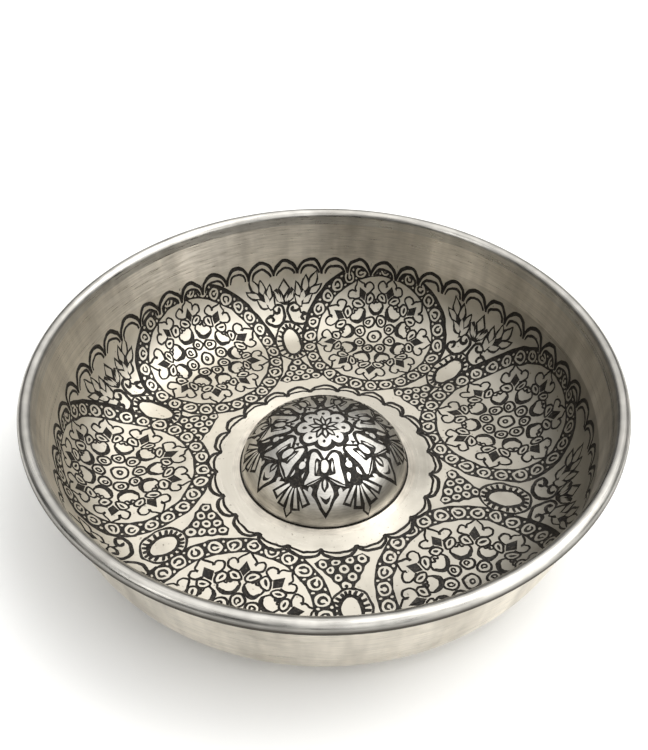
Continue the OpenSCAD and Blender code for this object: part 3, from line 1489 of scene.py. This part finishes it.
    def pendant(self, drawing: Drawing, place: Place) -> None:
        """Draws the pointed leaf that hangs below a tulip.

        Args:
            drawing: The drawing that gets the cuts.
            place: Where the motif sits on the drawing.
        """
        ground = [20.6, 22.8 + 4.5j, 23.6 + 8.4j, 26.0 + 5.4j, 28.6 + 3.7j, 31.4 + 2.2j, 35.2]
        drawing.fill(place(mirrored(ground)), Tone.CUT)
        edge = [21.4, 22.6 + 1.7j, 24.2 + 2.7j, 25.9 + 3.1j, 28.0 + 2.7j, 30.4 + 1.4j, 32.7]
        drawing.fill(place(mirrored(smooth(edge, per_span=3))), Tone.BRIGHT)
        drawing.fill(place.then(20.6)(leaf(5.2, 1.5, 0.6)), Tone.CUT)
        drawing.fill(place.then(21.6)(leaf(3.2, 0.5, 0.6)), Tone.BRIGHT)
        outer = smooth([26.6 + 2.3j, 28.5 + 1.6j, 29.5, 28.5 - 1.6j, 26.6 - 2.3j], per_span=3)
        inner = smooth([26.6 - 2.3j, 27.6 - 1.2j, 28.0, 27.6 + 1.2j, 26.6 + 2.3j], per_span=3)
        drawing.fill(place(np.concatenate([outer, inner[1:-1]])), Tone.CUT)
        for half in place.halves():
            drawing.fill(half.then(23.9 + 5.6j, -6)(leaf(3.0, 0.75)), Tone.BRIGHT)

    def fan(self, drawing: Drawing, place: Place) -> None:
        """Draws the fan of fingers that hangs between two pendants, each on a wider dark ground.

        Args:
            drawing: The drawing that gets the cuts.
            place: Where the motif sits on the drawing.
        """
        root = 23.2
        fingers = ((-46, 9.2), (-20, 9.7), (20, 9.7), (46, 9.2))
        for tone, more in ((Tone.CUT, 1.0), (Tone.BRIGHT, 0.0)):
            for tilt, length in fingers:
                end = complex(length + more, 0.85 + more)
                foot = complex(2.6 - more, 0.3 + 0.8 * more)
                finger = [foot.conjugate(), foot, end, end.conjugate()]
                drawing.fill(place.then(root, tilt)(finger), tone)
            arrow = [complex(2.6 - more, 0.2 + 0.8 * more), complex(9.2, 0.65 + more)]
            arrow += [complex(11.1, 1.25 + more), complex(13.0 + 1.5 * more, 0)]
            drawing.fill(place.then(root)(mirrored(arrow)), tone)

    def build(self, finishes: list[bpy.types.Material]) -> bpy.types.Object:
        """Builds the engraved boss.

        Args:
            finishes: Materials of the sheet and of the cuts.

        Returns:
            The piece.
        """
        section = Section(self.face(0.0, 1.0), 0.0)
        edge = float(section.length[-1]) - self.edge_w
        mesh = TurnedMesh(self.segments)
        _, outer = mesh.engrave(self.draw(), section, 0.0, edge, self.depth)
        skirt = [complex(self.skirt_r, self.seat_z - self.groove), complex(self.skirt_r, self.foot_z)]
        runs = [
            # Painted shade: the seat edge and the skirt take the black of the cuts, as the shade in the
            # joint with the floor
            (section.at(np.array([edge, edge + self.edge_w / 2])), Tone.CUT),
            (np.array(skirt), Tone.CUT),
            (np.array([complex(self.skirt_r - self.sheet, self.foot_z)]), Tone.BRIGHT),
            (self.face(self.sheet, 5.0)[::-1], Tone.BRIGHT),
        ]
        mesh.turn(runs, outer, None)
        piece = mesh.finish("engraved_boss", finishes)
        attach(piece, "root")
        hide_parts("boss_dome")
        return piece


@dataclass(frozen=True)
class Panel:
    """A broad panel of light in the room with soft edges, as seen from the bowl.

    The strength rises from the floor value to the panel's own between the outer and the inner angle
    from its middle, in degrees.
    """

    azimuth: float
    elevation: float
    inner: float
    outer: float
    strength: float
    floor: float = 0.0

    def level(self, tree: bpy.types.NodeTree, way: bpy.types.NodeSocket) -> bpy.types.NodeSocket:
        """Adds the nodes that give the panel's strength for a way out of the bowl.

        Args:
            tree: Node tree of the world.
            way: The way out of the bowl.

        Returns:
            The strength for that way.
        """
        turn, rise = math.radians(self.azimuth), math.radians(self.elevation)
        axis = (math.cos(rise) * math.cos(turn), math.cos(rise) * math.sin(turn), math.sin(rise))
        facing = add_node(tree, "ShaderNodeVectorMath", {"operation": "DOT_PRODUCT", 1: axis}, in_0=way)
        edge = (math.cos(math.radians(self.outer)), math.cos(math.radians(self.inner)))
        return add_node(
            tree,
            "ShaderNodeMapRange",
            {"interpolation_type": "SMOOTHSTEP", 1: edge[0], 2: edge[1], 3: self.floor, 4: self.strength},
            Value=facing.outputs["Value"],
        ).outputs[0]


@dataclass
class Studio:
    """A white table and soft light, with the camera that sees the bowl as in the photograph."""

    elevation: float = 42.105
    distance_mm: float = 311.97
    aim_z_mm: float = 44.6
    lens_mm: float = 44.56
    sensor_mm: float = 36.0
    near_mm: float = 10.0
    table_half_m: float = 3.0
    table_colour: str = "#FAFAF8"
    # Azimuth and elevation, inner and outer angle, all in degrees, then the strength
    panels: tuple[Panel, ...] = (
        Panel(80, 78, 0, 64, 1.65, 0.03),
        Panel(350, 44, 8, 33, 2.5),
        Panel(30, 62, 4, 22, 3.3),
        Panel(282, 38, 6, 23, 1.6),
        Panel(322, 8, 6, 30, 2.0),
        Panel(66, 20, 6, 24, 0.2),
        Panel(210, 38, 4, 14, 3.3),
    )

    def camera(self) -> None:
        """Places the camera."""
        data = bpy.data.cameras.new("camera")
        data.lens = self.lens_mm
        data.sensor_width = self.sensor_mm
        data.clip_start = self.near_mm * MM
        camera = bpy.data.objects.new("camera", data)
        tilt = math.radians(self.elevation)
        camera.location = (
            0,
            -self.distance_mm * math.cos(tilt) * MM,
            (self.aim_z_mm + self.distance_mm * math.sin(tilt)) * MM,
        )
        camera.rotation_euler = (math.pi / 2 - tilt, 0, 0)
        bpy.context.scene.collection.objects.link(camera)
        bpy.context.scene.camera = camera

    def table(self) -> None:
        """Lays the white table."""
        mesh = bpy.data.meshes.new("table")
        half = self.table_half_m
        corners = [(-half, -half, 0), (half, -half, 0), (half, half, 0), (-half, half, 0)]
        mesh.from_pydata(corners, [], [(0, 1, 2, 3)])
        # Paper scatters the light evenly, so it shows only the soft shadow
        material, tree = empty_material("white_paper")
        paper = {"Base Color": linear(self.table_colour), "Roughness": 0.9}
        surface = add_node(tree, "ShaderNodeBsdfPrincipled", paper)
        add_node(tree, "ShaderNodeOutputMaterial", Surface=surface.outputs[0])
        mesh.materials.append(material)
        table = bpy.data.objects.new("table", mesh)
        bpy.context.scene.collection.objects.link(table)

    def light(self) -> None:
        """Lights the bowl with a dim room and the soft panels in it."""
        world = bpy.data.worlds.new("room")
        world.use_nodes = True
        tree = world.node_tree
        tree.nodes.clear()
        way = add_node(tree, "ShaderNodeTexCoord").outputs["Generated"]
        total = None
        for panel in self.panels:
            level = panel.level(tree, way)
            if total is not None:
                both = add_node(tree, "ShaderNodeMath", {"operation": "ADD"}, in_0=total, in_1=level)
                level = both.outputs[0]
            total = level
        room = add_node(tree, "ShaderNodeBackground", {"Color": linear("#FFFFFF")}, Strength=total)
        add_node(tree, "ShaderNodeOutputWorld", Surface=room.outputs[0])
        bpy.context.scene.world = world
        bpy.context.scene.view_settings.view_transform = "Standard"


def dress_node(node: bpy.types.Object, material: bpy.types.Material) -> None:
    """Gives a carried-over solid its material."""
    node.data.materials.clear()
    node.data.materials.append(material)


def main() -> None:
    """Builds the bowl, the boss and the studio in order."""
    logging.basicConfig(level=logging.INFO, format="%(message)s")
    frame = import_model()
    black = BlackenedCut().make()
    sheet = [EngravedSheet().make(), black, RubbedRim().make(), SpunMetal().make()]
    # The dome was planished smooth, so it mirrors the room with no grain
    dome = SpunMetal("silvered_brass_domed", "#DAD7D0", "#BEBAB2", roughness=0.36, grain=0.0).make()
    for piece in (Bowl().build(sheet), Boss().build([dome, black])):
        LOG.info("%s: %d faces", piece.name, len(piece.data.polygons))
    # Drawn wire is a cooler grey than the sheet round it, and solder a dull dark line round the boss
    wire = SpunMetal("drawn_steel_wire", "#8C8C8E", "#77777A")
    solder = SpunMetal("soft_solder", "#6E6A63", "#4A463F", roughness=0.45)
    for name, finish in (("rim_wire", wire), ("boss_solder", solder)):
        dress_node(frame["nodes"][name], finish.make())
        LOG.info("%s: %s", name, finish.name)
    studio = Studio()
    studio.table()
    studio.light()
    studio.camera()


if __name__ == "__main__":
    main()
